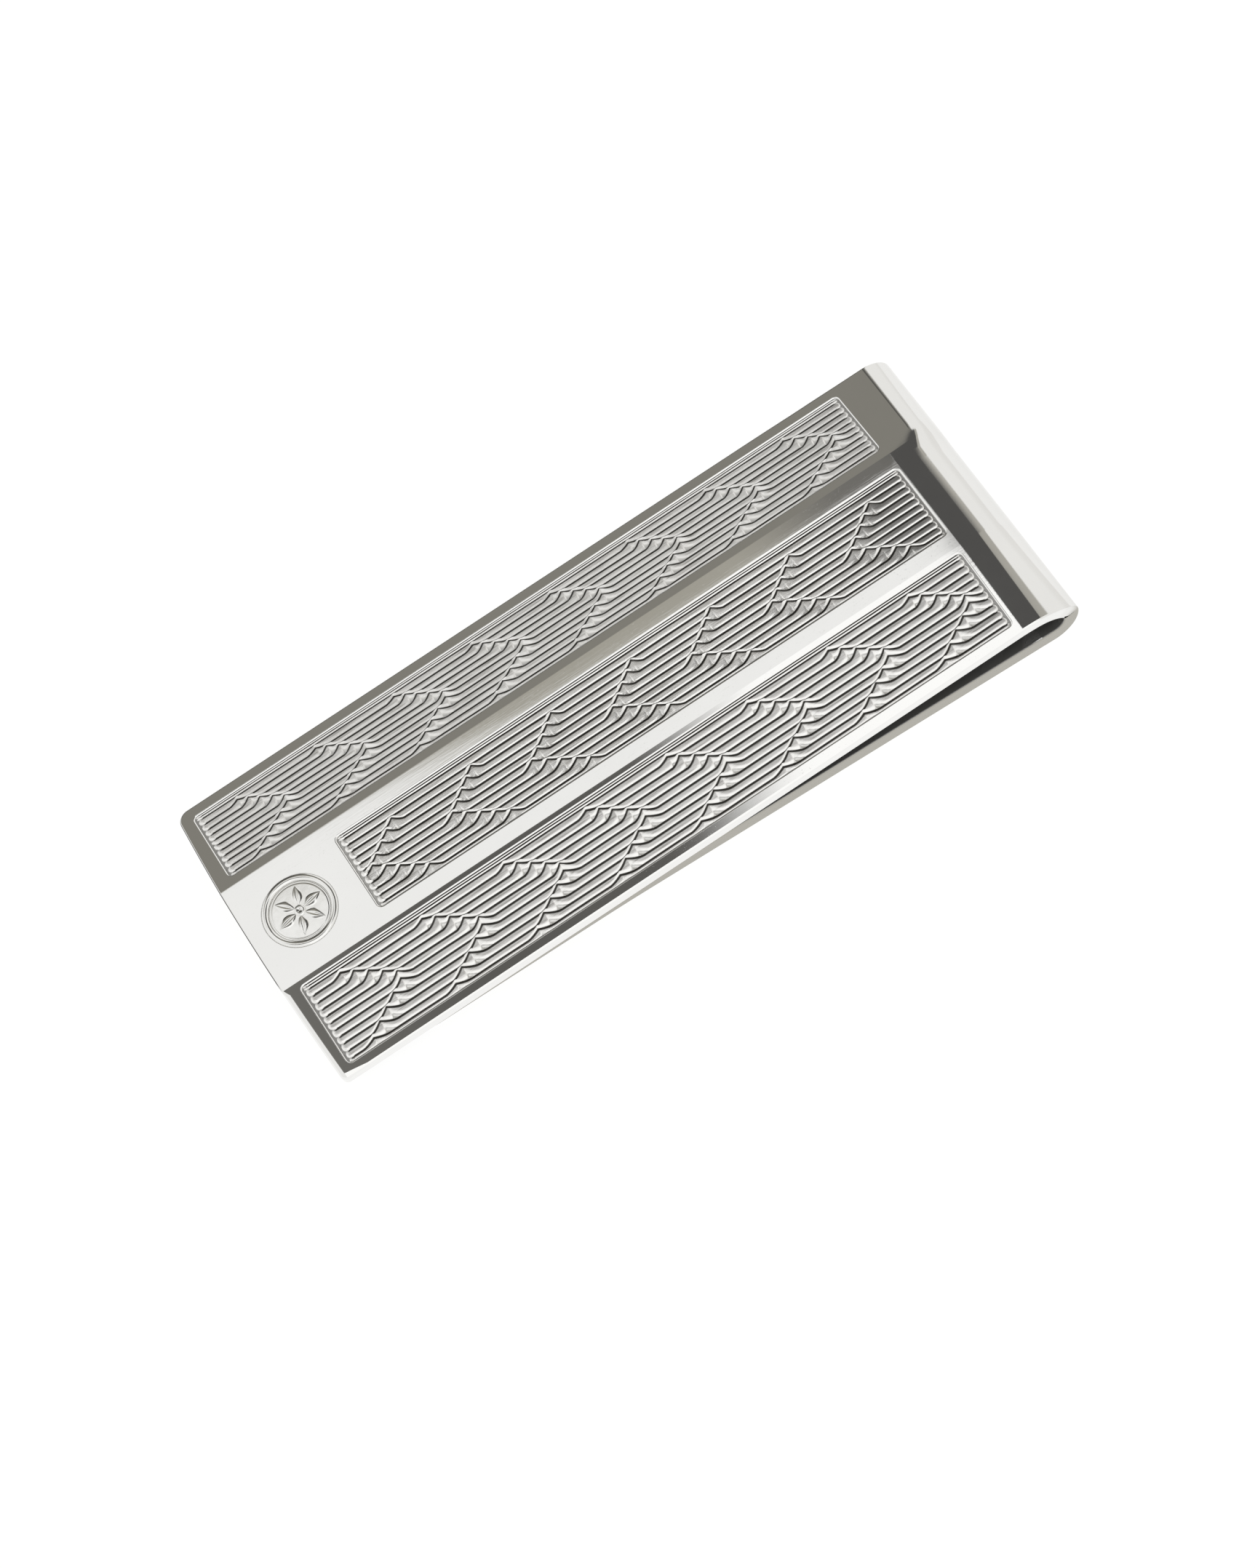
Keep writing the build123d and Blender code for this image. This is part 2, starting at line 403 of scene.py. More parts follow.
def add_pocket(b, loop, nor, rim, depth):
    """rounded rim, wall and floor of a pocket; loop is the wall line"""
    rows = []
    for th in ANG[::-1]:
        e, d = round_row(th, rim)
        xy = loop + nor * e
        p, ex, es, en = plate_map(xy[:, 0], xy[:, 1], np.full(len(xy), d))
        n = -math.cos(th) * (nor[:, :1] * ex + nor[:, 1:] * es) + math.sin(th) * en
        rows.append(b.add(p, n))
    p, ex, es, en = plate_map(loop[:, 0], loop[:, 1], np.full(len(loop), depth))
    rows.append(b.add(p, -(nor[:, :1] * ex + nor[:, 1:] * es)))
    for r1, r2 in zip(rows, rows[1:]):
        b.quads(r1, r2, closed=True)
    pts, tri = fill(loop, [], [])
    p, ex, es, en = plate_map(pts[:, 0], pts[:, 1], np.full(len(pts), depth))
    ids = b.add(p, en)
    b.f.extend(tuple(ids[t]) for t in tri)


EMBLEM = (3.66, 0.0)
EMBLEM_R = 2.62

front = Build()
path, path_n = plate_path()
holes, pockets = [], []
for key, (x0, x1, y0, y1) in SPANS.items():
    loop, nor = rounded_rect(x0, x1, y0, y1)
    pockets.append((loop, nor, RIM[key], POCKET))
    holes.append(loop + nor * RIM[key])
loop, nor = circle_loop(*EMBLEM, EMBLEM_R)
pockets.append((loop, nor, 0.05, 0.25))
holes.append(loop + nor * 0.05)
# the open end is eased, most of all below the lower facet
edge_r = EDGE_TOP + 0.25 * sstep((-path[:, 1] - 4.34) / 0.3) * sstep((1.2 - path[:, 0]) / 0.9)
edge_r = edge_r - 0.05 * sstep((path[:, 1] + 4.3) / 0.3) * sstep((50.0 - path[:, 0]) / 3.0)
# painted dark reflection: a near-black line on the strip's rounded outer edge, all round except beside the lower
# facet
painted_edge_line = sstep((path[:, 1] + 4.3) / 0.4)
lines = []
end_pts = {}
for p, n, e90 in zip(path, path_n, edge_r):
    for v in CREASE_S:
        for g in (-1, 1):
            if abs(p[1] - g * v) < 1e-9 and p[0] < 1.5:
                end_pts[g * v] = p - n * e90
for g in (-1, 1):
    for v in CREASE_S:
        lines.append(np.array([tuple(end_pts[g * v]), (SEAM, g * v)]))
sheet(front, plate_map, path, path_n, SEAM_S, holes, lines, edge_r, EDGE_LOW, METAL, line=painted_edge_line)
for args in pockets:
    add_pocket(front, *args)


def section():
    """the closed section of the strip, as rows of (s, depth, across, out)"""
    out = [(v, 0.0, 0.0, 1.0) for v in SEAM_S if abs(v) < S_MAX - EDGE_TOP - 1e-6]
    for th in ANG[::-1]:
        e, d = round_row(th, EDGE_TOP)
        out.append((S_MAX - e, d, math.cos(th), math.sin(th)))
    for th in ANG:
        e, d = round_row(th, EDGE_LOW)
        out.append((S_MAX - e, METAL - d, math.cos(th), -math.sin(th)))
    out += [(v, METAL, 0.0, -1.0) for v in SEAM_S[::-1] if abs(v) < S_MAX - EDGE_LOW - 1e-6]
    for th in ANG[::-1]:
        e, d = round_row(th, EDGE_LOW)
        out.append((-(S_MAX - e), METAL - d, -math.cos(th), -math.sin(th)))
    for th in ANG:
        e, d = round_row(th, EDGE_TOP)
        out.append((-(S_MAX - e), d, -math.cos(th), math.sin(th)))
    return np.array(out)


SEC = section()
# the front strip's seam cap
p, ex, es, en = plate_map(np.full(len(SEC), SEAM), SEC[:, 0], SEC[:, 1])
cap_n = SEC[:, 2:3] * es + SEC[:, 3:4] * en
ids = front.add(p, cap_n)
front.f.append(tuple(ids))
front_ob = front.mesh("front_strip")

# ------------------------------------------------------------------ fold
F_RAMP = np.concatenate([[0, 0.015, 0.03, 0.05, 0.075, 0.11], np.linspace(0.16, 0.90, 12), [0.94, 0.97, 0.985, 1.0]])
F_ARC = np.concatenate([[0.012, 0.03, 0.055], np.linspace(0.09, 1.0, 34)])
N_DOWN, N_FLAT = 34, 3
LEG_SEAM = -0.95
TAPER = (LEG_O[0] - 20.0) / math.cos(LEG)


def leg_half(xl):
    """half width of the back leg at a distance along it"""
    t = np.clip(-np.asarray(xl, float) / TAPER, 0, 1)
    k = np.where(t < 0.9, t, 0.9 + (t - 0.9) * (1 - 0.5 * np.clip((t - 0.9) / 0.1, 0, 1)))
    return HALF_W - (HALF_W - 10.85) * k / 0.95


def fold_rings(s):
    """outer line of the fold for each s: positions and along-tilts, rings x samples.
    A shallow ramp leads from the facets to a soft crease, then the bend begins."""
    y, h, _, _ = roof(s, 0.0)
    w = 1 - sstep((y - 3.25) / 1.85)
    xa = (55.47 + 0.13 * (-h / SIDE_FALL)) * (1 - w) + 55.20 * w
    rows_p, rows_t = [], []
    z, x_old, tan_old = h.copy(), None, None
    for f in F_RAMP:
        x = SEAM + (xa - SEAM) * f
        tilt = w * np.radians(2.4 + 6.0 * f + 3.6 * sstep((f - 0.74) / 0.08)) * sstep((x - SEAM) / 0.14)
        if x_old is not None:
            z = z - (x - x_old) * (np.tan(tilt) + tan_old) / 2
        x_old, tan_old = x, np.tan(tilt)
        rows_p.append(np.stack([x, y, z], -1))
        rows_t.append(tilt)
    # the bend leaves the ramp at its tilt and stands upright at the apex
    zc = FOLD_ZC
    p0 = np.stack([xa, z], -1)
    p3 = np.stack([APEX + 0 * xa, zc + 0 * xa], -1)
    turn = np.stack([APEX + 0 * xa, z - tan_old * (APEX - xa)], -1)
    p1, p2 = p0 + 0.5523 * (turn - p0), p3 + 0.5523 * (turn - p3)
    for g in F_ARC:
        q = (1 - g) ** 3 * p0 + 3 * g * (1 - g) ** 2 * p1 + 3 * g * g * (1 - g) * p2 + g ** 3 * p3
        dq = 3 * (1 - g) ** 2 * (p1 - p0) + 6 * g * (1 - g) * (p2 - p1) + 3 * g * g * (p3 - p2)
        rows_p.append(np.stack([q[:, 0], y, q[:, 1]], -1))
        rows_t.append(np.arctan2(-dq[:, 1], dq[:, 0]))
    end = math.pi + LEG
    r2 = FOLD_R
    for j in range(1, N_DOWN + 1):
        th = math.pi / 2 + (end - math.pi / 2) * j / N_DOWN
        rows_p.append(np.stack([APEX - r2 + r2 * np.sin(th) + 0 * y, y, zc + r2 * np.cos(th) + 0 * y], -1))
        rows_t.append(th + 0 * y)
    last = rows_p[-1]
    xl = (last - LEG_O) @ LEG_X
    for j in range(1, N_FLAT + 1):
        t = j / N_FLAT
        x_l = xl + (LEG_SEAM - xl) * t
        p = LEG_O + x_l[:, None] * LEG_X
        p[:, 1] = y * (1 + (leg_half(LEG_SEAM) / HALF_W - 1) * t)
        rows_p.append(p)
        rows_t.append(end + 0 * y)
    return np.array(rows_p), np.array(rows_t)


def fold_mesh():
    b = Build()
    s, d, ca, co = SEC.T
    P, TH = fold_rings(s)
    h = 0.012
    Pp, _ = fold_rings(np.clip(s + h, -S_MAX, S_MAX))
    Pm, _ = fold_rings(np.clip(s - h, -S_MAX, S_MAX))
    T = np.stack([np.cos(TH), 0 * TH, -np.sin(TH)], -1)
    S = Pp - Pm
    N = np.cross(T, S)
    N /= np.linalg.norm(N, axis=-1, keepdims=True)
    S = np.cross(N, T)
    plate_p, _, plate_s, plate_n = plate_map(np.full(len(SEC), SEAM), s, d)
    N[0], S[0] = plate_n, plate_s
    pos = P - d[None, :, None] * N
    pos[0] = plate_p
    nor = ca[None, :, None] * S + co[None, :, None] * N
    # painted shade: the bend takes part of the wall's darker, duller finish as it turns down, and its side walls
    # take more of it
    dull_and_shade = 0.13 * sstep((TH - 0.50) / 0.15) + 0.09 * sstep((TH - 0.75) / 0.35)
    satin_and_shade = np.maximum(sstep((TH - 0.55) / 0.9) * (np.abs(ca)[None] > 0.35), dull_and_shade)
    rows = [b.add(pos[j], nor[j], (co < -0.75).astype(float), satin_and_shade[j]) for j in range(len(pos))]
    for r1, r2 in zip(rows, rows[1:]):
        b.quads(r1, r2, closed=True)
    b.f.append(tuple(rows[0][::-1]))
    b.f.append(tuple(rows[-1]))
    return b.mesh("fold_strip"), pos[-1]


fold_ob, fold_end = fold_mesh()


# ------------------------------------------------------------------ back leg
def leg_path():
    pts, nor = [], []
    length = (LEG_O[0] - 4.0) / math.cos(LEG)
    r = 3.2
    hw = float(leg_half(-length))
    xs = np.linspace(LEG_SEAM, -length + r, 60)
    for x in xs:
        k = (leg_half(x + 0.01) - leg_half(x - 0.01)) / 0.02
        n = np.array([-k, 1.0])
        pts.append((x, float(leg_half(x)))); nor.append(tuple(n / np.linalg.norm(n)))
    for t in np.linspace(0, 1, 17)[1:]:
        a = math.pi / 2 * (1 + t)
        pts.append((-length + r + r * math.cos(a), hw - r + r * math.sin(a)))
        nor.append((math.cos(a), math.sin(a)))
    ups = list(zip(pts, nor))
    for v in np.linspace(hw - r, -(hw - r), 9)[1:-1]:
        pts.append((-length, v)); nor.append((-1, 0))
    for (x, y), (nx, ny) in ups[::-1]:
        pts.append((x, -y)); nor.append((nx, -ny))
    return np.array(pts), np.array(nor)


leg = Build()
lp, ln = leg_path()
ln[0], ln[-1] = (0, 1), (0, -1)
leg_s = np.linspace(-10.8, 10.8, 13)
# the leg's cut edge is duller and painted darker, as shade near the floor
sheet(leg, leg_map, lp, ln, leg_s, [], [], EDGE_TOP, EDGE_LOW, METAL, satin_and_shade=1.0)
w_l = float(leg_half(LEG_SEAM))
sec_leg = [(v, 0.0) for v in leg_s]
for th in ANG[::-1]:
    e, d = round_row(th, EDGE_TOP)
    sec_leg.append((w_l - e, d))
for th in ANG:
    e, d = round_row(th, EDGE_LOW)
    sec_leg.append((w_l - e, METAL - d))
sec_leg += [(v, METAL) for v in leg_s[::-1]]
for th in ANG[::-1]:
    e, d = round_row(th, EDGE_LOW)
    sec_leg.append((-(w_l - e), METAL - d))
for th in ANG:
    e, d = round_row(th, EDGE_TOP)
    sec_leg.append((-(w_l - e), d))
sec_leg = np.array(sec_leg)
p, ex, es, en = leg_map(np.full(len(sec_leg), LEG_SEAM), sec_leg[:, 0], sec_leg[:, 1])
out = np.where(np.arange(len(sec_leg))[:, None] < 0, es, en)
side = np.clip(sec_leg[:, :1] / w_l, -1, 1) ** 25
ids = leg.add(p, side * es + (1 - np.abs(side)) * np.sign(0.6 - sec_leg[:, 1:2]) * en)
leg.f.append(tuple(ids))
leg_ob = leg.mesh("back_leg_strip")

# ------------------------------------------------------------------ engraved panels
PITCH = 0.53
CHEV = 6.66
# painted reflection along each panel: the lands are coloured darker towards the fold end, standing in for the dark
# reflection there; the lower panel is darker throughout, the centre panel lightest in its middle
PANEL_REFLECTION_SHADE = {
    "upper": ([0, 20, 45, 50, 53], [0.97, 1.0, 1.0, 0.86, 0.78]),
    "centre": ([8, 12, 27, 36, 45, 48, 50.5, 53], [0.93, 0.90, 0.92, 1.0, 1.0, 0.80, 0.42, 0.38]),
    "lower": ([0, 45, 50, 53], [0.87, 0.88, 0.76, 0.70]),
}


def bump(t, half):
    """displacement of a groove at a chevron: a rounded triangular rise"""
    q = np.clip(1 - np.abs(t) / half, 0, 1)
    return q ** 1.55


def tip_row(n, key):
    """the row of grooves that the chevrons' points lie on"""
    return (n - 1) / 2.0 - (0.5 if key == "centre" else 0.0)


def panel(key, tips, point, seed):
    """engraved panel: grooves along the clip that jump sideways in chevrons.
    tips are the chevrons' points, point is +1 if they point to the fold"""
    x0, x1, y0, y1 = SPANS[key]
    width = y1 - y0
    rng = np.random.default_rng(seed)
    # groove lines at rest, from the near edge to the far edge
    first, thin = 0.26, [width - 0.34, width - 0.14]
    n = int(round((thin[0] - first) / PITCH))
    base = [first + (thin[0] - first) * k / n for k in range(n)] + thin
    pitch = (thin[0] - first) / n
    base = np.array(base)
    m = len(base)
    jit = rng.normal(0, 0.006, m)
    xs = np.concatenate([
        np.linspace(x0, x0 + 0.7, 30), np.arange(x0 + 0.75, x1 - 0.62, 0.052), np.linspace(x1 - 0.6, x1, 26)])
    nc = tip_row(n, key)
    up, dn = (1.40, 1.60) if point > 0 else (1.27, 1.50)
    Y = np.zeros((m, len(xs)))
    B = np.zeros((m, len(xs)))
    for k in range(m):
        y = np.full(len(xs), base[k] + jit[k])
        if k < n:
            off = k - nc
            lag = (up if off > 0 else dn) * pitch * abs(off)
            for ti, tip in enumerate(tips):
                xn = tip - point * lag + rng.normal(0, 0.03)
                if abs(off) > 4.7:
                    continue
                half = (up if off > 0 else dn) * pitch * 1.30
                d = (xs - xn) * point
                bb = np.where(d > 0, bump(d, half), bump(d, half * 0.85))
                bb = bb * (1.0 if abs(off) < 4.2 else 0.6)
                y += 0.93 * pitch * bb
                B[k] = np.maximum(B[k], bb * np.where(d > 0, 1.0, 0.30))
        y += 0.008 * np.sin(xs * 0.9 + k * 1.7 + seed)
        Y[k] = y
    floor_d, groove = 0.055, 0.050
    rows_y, rows_h, rows_g, rows_s = [], [], [], []
    edge0, edge1 = np.zeros(len(xs)), np.full(len(xs), width)
    lines_y = [edge0] + [Y[k] for k in range(m)] + [edge1]
    depth = [np.full(len(xs), 0.02)] + [groove * (1 + 0.9 * B[k]) for k in range(m)] + [np.full(len(xs), 0.02)]
    if m >= 2:
        depth[-2] = np.full(len(xs), 0.034)
        depth[-3] = np.full(len(xs), 0.038)
    wide = [np.full(len(xs), 0.05)] + [0.125 * (1 + 1.1 * B[k]) for k in range(m)] + [np.full(len(xs), 0.05)]
    wide[-2] = np.full(len(xs), 0.09)
    wide[-3] = np.full(len(xs), 0.10)
    land_no = []
    for k in range(len(lines_y) - 1):
        ya, yb = lines_y[k], lines_y[k + 1]
        gap = np.maximum(yb - ya, 0.012)
        hook = np.where(k > 0, B[max(k - 1, 0)], 0) ** 0.5 if k <= m else 0
        wedge = (B[k] if k < m else 0 * xs) * (0.55 if key == "centre" else 1.0)
        wf = np.minimum(wide[k] * 1.15, gap * (0.46 + 0.40 * hook))
        wf = wf + (0.74 * gap - wf) * np.clip(wedge * 1.3, 0, 1) * (gap > 0.35)
        wn = np.minimum(np.minimum(wide[k + 1], 0.145) * 1.10, np.maximum(gap - wf, 0.004) * 0.85)
        da = np.maximum(depth[k], 0.05 * (1 + 1.0 * wedge) * (k > 0)) * np.minimum(1, wf / 0.05)
        db = depth[k + 1] * np.minimum(1, wn / 0.05)
        crown = 0.005 * np.minimum(1, gap / 0.4)
        if k == 0:
            rows_y.append(ya); rows_h.append(-da); rows_g.append(np.ones(len(xs)))
            rows_s.append(np.full(len(xs), 0.5)); land_no.append(k)
        # each stop is (across, height, groove mark, shade mark); the shade mark paints the near flank and bottom of
        # the groove dark, as painted shade
        stops = [
            (ya + np.minimum(wf * 0.20, 0.03), -da * (1 - np.minimum(0.20, 0.03 / np.maximum(wf, 0.02))), 1.0, 0.20),
            (ya + wf * 0.6, -da * 0.38, 1.0, 0.0),
            (ya + wf, 0 * ya, 0.35, 0.0),
            (ya + wf + (gap - wf - wn) * 0.25, crown * 0.8, 0.0, 0.0),
            (ya + wf + (gap - wf - wn) * 0.5, crown, 0.0, 0.05),
            (ya + wf + (gap - wf - wn) * 0.8, crown * 0.5, 0.0, 0.12),
            (yb - wn, 0 * ya - 0.002, 0.3, 0.42), (yb - wn * 0.60, -db * 0.40, 1.0, 1.0), (yb, -db, 1.0, 1.0)]
        for yy, hh, gg, sh in stops:
            rows_y.append(yy); rows_h.append(hh); rows_g.append(np.full(len(xs), gg))
            rows_s.append(np.full(len(xs), sh)); land_no.append(k)
    RS = np.array(rows_s)
    RY, RH, RG = np.array(rows_y), np.array(rows_h), np.array(rows_g)
    # lands end in rounded tongues
    gapfrac = np.zeros_like(RY)
    for r, k in enumerate(land_no):
        ya, yb = lines_y[k], lines_y[k + 1]
        gapfrac[r] = np.clip((RY[r] - ya) / np.maximum(yb - ya, 0.01), 0, 1)
    curve = 1 - np.sqrt(np.clip(1 - (2 * gapfrac - 1) ** 2, 0, 1))
    dl = (xs[None] - x0) - 0.09 - 0.26 * curve
    dr = (x1 - xs[None]) - 0.09 - 0.24 * curve
    tongue = sstep(dl / 0.22) * sstep(dr / 0.15)
    RH = (RH + 0.020 * sstep(1 - np.abs(dl - 0.26) / 0.16)) * tongue - 0.085 * (1 - tongue)
    RG = np.maximum(RG, sstep((1 - tongue) * 3) * 1.0)
    rim_l, rim_r = sstep(1 - np.abs(dl - 0.16) / 0.16), sstep(1 - np.abs(dr - 0.12) / 0.12)
    # painted shade: the shade mark fades on the rims and is set to a middling value where the grooves end, which
    # darkens the groove ends
    RS = np.maximum(RS * tongue * (1 - 0.75 * np.maximum(rim_l, rim_r)), 0.40 * sstep((0.16 - tongue) / 0.12))
    # hand-cut unevenness
    RH = RH + 0.0022 * np.sin(xs[None] * 2.3 + RY * 9.0 + seed) * np.sin(RY * 23.0 + seed)
    D = np.clip(floor_d - RH, 0.015, 0.2)
    # rounded plan corners follow the pocket
    rc = 0.30
    over = np.clip(rc - np.minimum(xs - x0, x1 - xs), 0, rc)
    inset = rc - np.sqrt(np.maximum(rc ** 2 - over ** 2, 0))
    lo, hi = inset + 0.004, width - inset - 0.004
    RY = np.clip(RY, lo[None], hi[None])
    X = np.broadcast_to(xs[None], RY.shape).copy()
    X = np.clip(X, x0 + 0.004, x1 - 0.004)
    Sv = y0 + RY
    P, _, _, _ = plate_map(X, Sv, D)
    nr, ncol = RY.shape
    top = world(P).reshape(-1, 3)
    # skirt and underside close the piece
    under = world(plate_map(X, Sv, np.full(X.shape, POCKET - 0.01))[0])
    ring = [(0, c) for c in range(ncol)] + [(r, ncol - 1) for r in range(1, nr)] + \
           [(nr - 1, c) for c in range(ncol - 2, -1, -1)] + [(r, 0) for r in range(nr - 2, 0, -1)]
    verts = top.tolist()
    idx = np.arange(nr * ncol).reshape(nr, ncol)
    faces = np.stack([idx[:-1, :-1], idx[:-1, 1:], idx[1:, 1:], idx[1:, :-1]], -1).reshape(-1, 4).tolist()
    start = len(verts)
    verts += [under[r, c].tolist() for r, c in ring]
    k = len(ring)
    for i in range(k):
        j = (i + 1) % k
        faces.append([int(idx[ring[i]]), start + i, start + j, int(idx[ring[j]])])
    faces.append([start + i for i in range(k)])
    me = bpy.data.meshes.new("engraved_" + key)
    me.from_pydata(verts, [], faces)
    RT = np.broadcast_to(np.interp(xs, *PANEL_REFLECTION_SHADE[key])[None], RY.shape)
    # the skirt's vertices take 0.6 in every mark, which paints the skirt dark, as shade down the pocket wall
    for name, val in (("groove", RG), ("shade", RS), ("reflection_shade", RT)):
        g = np.concatenate([val.ravel(), np.full(k, 0.6)]).astype(np.float32)
        at = me.attributes.new(name, "FLOAT", "POINT")
        at.data.foreach_set("value", g)
    bm = bmesh.new()
    bm.from_mesh(me)
    bmesh.ops.triangulate(bm, faces=[f for f in bm.faces if len(f.verts) > 4])
    bmesh.ops.recalc_face_normals(bm, faces=bm.faces)
    bm.to_mesh(me)
    bm.free()
    me.polygons.foreach_set("use_smooth", [True] * len(me.polygons))
    ob = bpy.data.objects.new("engraved_" + key, me)
    bpy.context.scene.collection.objects.link(ob)
    return ob


TIPS = {
    "lower": ([0.8] + [7.2 + 6.412 * k for k in range(8)], 1),
    "upper": ([1.0] + [7.3 + 6.325 * k for k in range(8)], 1),
    "centre": ([9.25 + 6.37 * k for k in range(7)], -1),
}
panels = {k: panel(k, t, d, i + 3) for i, (k, (t, d)) in enumerate(TIPS.items())}


# ------------------------------------------------------------------ emblem
def lathe(b, profile, cx, cy, n=120):
    """closed ring or disc turned about the emblem's axis; profile is (radius, height, nr, nz)"""
    a = np.arange(n) / n * 2 * math.pi
    rows = []
    for r, z, nr_, nz_ in profile:
        p = np.stack([cx + r * np.cos(a), cy + r * np.sin(a), np.full(n, z)], -1)
        nn = np.stack([nr_ * np.cos(a), nr_ * np.sin(a), np.full(n, nz_)], -1)
        rows.append(b.add(p, nn))
    for r1, r2 in zip(rows, rows[1:]):
        b.quads(r1, r2, closed=True)
    return rows


def ring_piece():
    b = Build()
    r0, r1 = EMBLEM_R - 0.44, EMBLEM_R - 0.006
    prof = []
    low = -0.24
    mid, half, rise = (r0 + r1) / 2, (r1 - r0) / 2, 0.115
    prof.append((r1, low, 1, 0))
    for t in np.linspace(0, math.pi, 25):
        # a rounded band with a fine shoulder line on each side
        c, s_ = math.cos(t), math.sin(t)
        shoulder = 0.018 * math.exp(-((abs(c) - 0.82) / 0.07) ** 2)
        prof.append((mid + half * c, -0.03 + rise * s_ ** 0.75 - shoulder, c * 0.75, 0.25 + s_))
    prof.append((r0, low, -1, 0))
    rows = lathe(b, prof, *EMBLEM)
    b.quads(rows[-1], rows[0], closed=True)
    return b.mesh("emblem_band")


def disc_piece():
    b = Build()
    r = EMBLEM_R - 0.442
    prof = [(r, -0.24, 1, 0), (r, -0.10, 1, 0.2), (r - 0.03, -0.075, 0.7, 0.7), (r - 0.08, -0.06, 0.15, 1),
            (r - 0.16, -0.062, -0.1, 1), (r - 0.20, -0.085, 0.3, 1), (r - 0.24, -0.062, 0.1, 1)]
    for q in np.linspace(r - 0.30, 0.02, 14):
        prof.append((q, -0.058 + 0.012 * (1 - (q / r) ** 2), 0.012 * q / r, 1))
    rows = lathe(b, prof, *EMBLEM)
    b.f.append(tuple(rows[-1]))
    b.f.append(tuple(rows[0][::-1]))
    return b.mesh("emblem_ground")


def rosette_piece():
    """six pointed petals with a crease down each, and a turned hub with a dimple"""
    b = Build()
    nu, nv = 22, 13
    for k in range(6):
        ang = math.radians(60 * k + 12)
        ca, sa = math.cos(ang), math.sin(ang)
        grid, gn = np.zeros((nu, nv, 3)), np.zeros((nu, nv, 3))
        for i in range(nu):
            u = i / (nu - 1)
            wdt = 0.50 * math.sin(math.pi * min(1, u * 0.985 + 0.0075)) ** 0.85 * (1 - 0.25 * u) + 0.004
            hgt = 0.085 * math.sin(math.pi * (0.1 + 0.84 * u)) ** 0.7
            for j in range(nv):
                v = -1 + 2 * j / (nv - 1)
                q = 0.34 + 1.50 * u
                h = hgt * (1 - v * v) ** 0.6 - 0.030 * math.exp(-(v / 0.16) ** 2) * math.sin(math.pi * u)
                grid[i, j] = (q, wdt * v, -0.065 + max(h, 0.0))
        du, dv = np.gradient(grid, axis=0), np.gradient(grid, axis=1)
        gn = np.cross(du, dv)
        gn /= np.maximum(np.linalg.norm(gn, axis=-1, keepdims=True), 1e-12)
        rot = np.array([[ca, sa, 0], [-sa, ca, 0], [0, 0, 1]])
        pts = grid.reshape(-1, 3) @ rot + np.array([EMBLEM[0], EMBLEM[1], 0])
        ids = b.add(pts, gn.reshape(-1, 3) @ rot).reshape(nu, nv)
        for r1, r2 in zip(ids, ids[1:]):
            b.quads(r1, r2)
        low = pts.reshape(nu, nv, 3).copy()
        low[..., 2] = -0.09
        edge = [(i, 0) for i in range(nu)] + [(nu - 1, j) for j in range(1, nv)] + \
               [(i, nv - 1) for i in range(nu - 2, -1, -1)] + [(0, j) for j in range(nv - 2, 0, -1)]
        lo_ids = b.add(np.array([low[e] for e in edge]), np.tile([0, 0, -1.0], (len(edge), 1)))
        up_ids = [ids[e] for e in edge]
        b.quads(up_ids, lo_ids, closed=True)
        b.f.append(tuple(lo_ids[::-1]))
    prof = [(0.40, -0.09, 1, 0), (0.40, -0.02, 1, 0.1), (0.385, 0.035, 0.8, 0.6), (0.33, 0.07, 0.4, 0.9),
            (0.26, 0.083, 0.1, 1), (0.19, 0.075, -0.3, 1), (0.12, 0.055, -0.3, 1), (0.05, 0.046, -0.1, 1),
            (0.01, 0.045, 0, 1)]
    rows = lathe(b, prof, *EMBLEM, n=48)
    b.f.append(tuple(rows[-1]))
    b.f.append(tuple(rows[0][::-1]))
    return b.mesh("emblem_petals", merge=5e-8)


ring_ob, disc_ob, rosette_ob = ring_piece(), disc_piece(), rosette_piece()


# ------------------------------------------------------------------ materials
def new_mat(name):
    m = bpy.data.materials.new(name)
    m.use_nodes = True
    nt = m.node_tree
    nt.nodes.clear()
    out = nt.nodes.new("ShaderNodeOutputMaterial")
    bs = nt.nodes.new("ShaderNodeBsdfPrincipled")
    nt.links.new(bs.outputs["BSDF"], out.inputs["Surface"])
    return m, nt, bs


def node(nt, kind, **kw):
    n = nt.nodes.new(kind)
    for k, v in kw.items():
        setattr(n, k, v)
    return n


def ramp(nt, src, stops):
    r = nt.nodes.new("ShaderNodeValToRGB")
    els = r.color_ramp.elements
    while len(els) < len(stops):
        els.new(0.5)
    for e, (pos, c) in zip(els, stops):
        e.position = pos
        e.color = (c, c, c, 1) if not isinstance(c, tuple) else (*c, 1)
    nt.links.new(src, r.inputs["Fac"])
    return r


def coords(nt, scale):
    tc = nt.nodes.new("ShaderNodeTexCoord")
    mp = nt.nodes.new("ShaderNodeMapping")
    mp.inputs["Scale"].default_value = scale
    nt.links.new(tc.outputs["Object"], mp.inputs["Vector"])
    return mp.outputs["Vector"]


def noise(nt, vec, scale, detail=3.0, rough=0.55):
    n = nt.nodes.new("ShaderNodeTexNoise")
    n.inputs["Scale"].default_value = scale
    n.inputs["Detail"].default_value = detail
    n.inputs["Roughness"].default_value = rough
    nt.links.new(vec, n.inputs["Vector"])
    return n.outputs["Fac"]


def add_bump(nt, height, strength, distance, normal=None):
    bp = nt.nodes.new("ShaderNodeBump")
    bp.inputs["Strength"].default_value = strength
    bp.inputs["Distance"].default_value = distance
    nt.links.new(height, bp.inputs["Height"])
    if normal is not None:
        nt.links.new(normal, bp.inputs["Normal"])
    return bp.outputs["Normal"]


def mix_by(nt, fac, a, b):
    """a where fac is 0, b where it is 1; b is a colour"""
    mx = node(nt, "ShaderNodeMix", data_type="RGBA")
    nt.links.new(fac, mx.inputs["Factor"])
    nt.links.new(a, mx.inputs["A"])
    mx.inputs["B"].default_value = (*b, 1)
    return mx.outputs["Result"]


